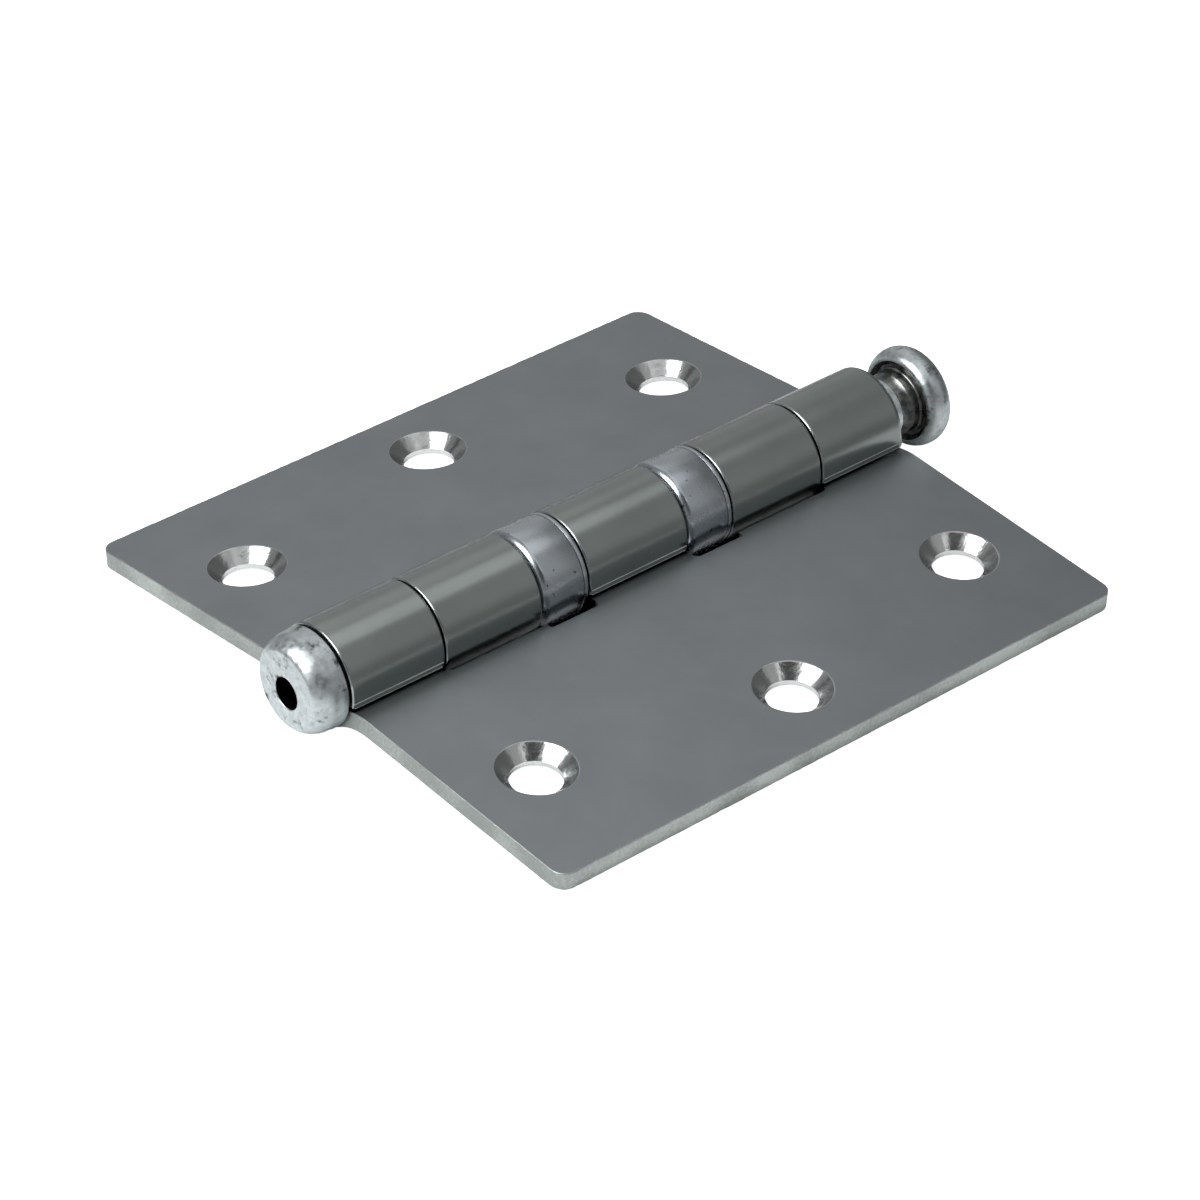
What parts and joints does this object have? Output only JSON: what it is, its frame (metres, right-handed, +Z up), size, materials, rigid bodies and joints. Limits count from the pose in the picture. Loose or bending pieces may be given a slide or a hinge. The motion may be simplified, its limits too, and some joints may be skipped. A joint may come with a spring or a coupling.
{
  "type": "ball bearing hinge",
  "caption": "Square-cornered steel butt hinge with rolled knuckles, a loose button-head pin, an end plug and ball bearings between the knuckles.",
  "frame": {"origin": "centre of the bottom of the bounding box: on the surface that the hinge stands on, under the pin, half-way between the face of the end plug and the face of the pin's head", "axes": "+X along the pin, from the end plug towards the pin's head; +Y towards the back leaf; +Z up, the side of the countersinks. The hinge is open, with both leaves' outer edges and the barrel on the plane z = 0"},
  "size_m": [0.1032, 0.0888, 0.0134],
  "materials": {
    "leaf_coating": "satin mid-grey metallic coating on sheet steel, with bare turned countersinks",
    "zinc_plate": "bright zinc plate, slightly mottled",
    "bearing_plating": "smooth bluish zinc plate on drawn and turned steel",
    "hard_steel": "ground and polished bearing steel"
  },
  "bodies": {
    "front": {"front_leaf": "leaf_coating", "end_plug": "zinc_plate", "bearing_1_upper_race": "bearing_plating", "bearing_2_cover": "bearing_plating", "bearing_2_lower_race": "hard_steel"},
    "back": {"back_leaf": "leaf_coating", "bearing_1_cover": "bearing_plating", "bearing_1_lower_race": "hard_steel", "bearing_2_upper_race": "bearing_plating"},
    "pin": {"pin": "zinc_plate"},
    "bearing_1_balls": {"bearing_1_ball_01": "hard_steel", "bearing_1_ball_02": "hard_steel", "bearing_1_ball_03": "hard_steel", "bearing_1_ball_04": "hard_steel", "bearing_1_ball_05": "hard_steel", "bearing_1_ball_06": "hard_steel", "bearing_1_ball_07": "hard_steel", "bearing_1_ball_08": "hard_steel", "bearing_1_ball_09": "hard_steel", "bearing_1_ball_10": "hard_steel", "bearing_1_ball_11": "hard_steel", "bearing_1_ball_12": "hard_steel", "bearing_1_ball_13": "hard_steel", "bearing_1_ball_14": "hard_steel", "bearing_1_ball_15": "hard_steel", "bearing_1_ball_16": "hard_steel"},
    "bearing_2_balls": {"bearing_2_ball_01": "hard_steel", "bearing_2_ball_02": "hard_steel", "bearing_2_ball_03": "hard_steel", "bearing_2_ball_04": "hard_steel", "bearing_2_ball_05": "hard_steel", "bearing_2_ball_06": "hard_steel", "bearing_2_ball_07": "hard_steel", "bearing_2_ball_08": "hard_steel", "bearing_2_ball_09": "hard_steel", "bearing_2_ball_10": "hard_steel", "bearing_2_ball_11": "hard_steel", "bearing_2_ball_12": "hard_steel", "bearing_2_ball_13": "hard_steel", "bearing_2_ball_14": "hard_steel", "bearing_2_ball_15": "hard_steel", "bearing_2_ball_16": "hard_steel"}
  },
  "joints": [
    {"name": "leaf_swing", "type": "hinge", "parent": "front", "child": "back", "pos_m": [-0.00235, 0, 0.0067], "axis": [1, 0, 0], "range_deg": [-115, 188]},
    {"name": "pin_slide", "type": "slide", "parent": "front", "child": "pin", "axis": [1, 0, 0], "range_m": [-0.005, 0.075]},
    {"name": "ball_ring_1", "type": "hinge", "parent": "front", "child": "bearing_1_balls", "pos_m": [-0.01413, 0, 0.0067], "axis": [1, 0, 0], "range_deg": [-57.5, 94]},
    {"name": "ball_ring_2", "type": "hinge", "parent": "front", "child": "bearing_2_balls", "pos_m": [0.00928, 0, 0.0067], "axis": [1, 0, 0], "range_deg": [-57.5, 94]}
  ],
  "couplings": [
    {"joint": "ball_ring_1", "follows": "leaf_swing", "ratio": 0.5},
    {"joint": "ball_ring_2", "follows": "leaf_swing", "ratio": 0.5}
  ]
}
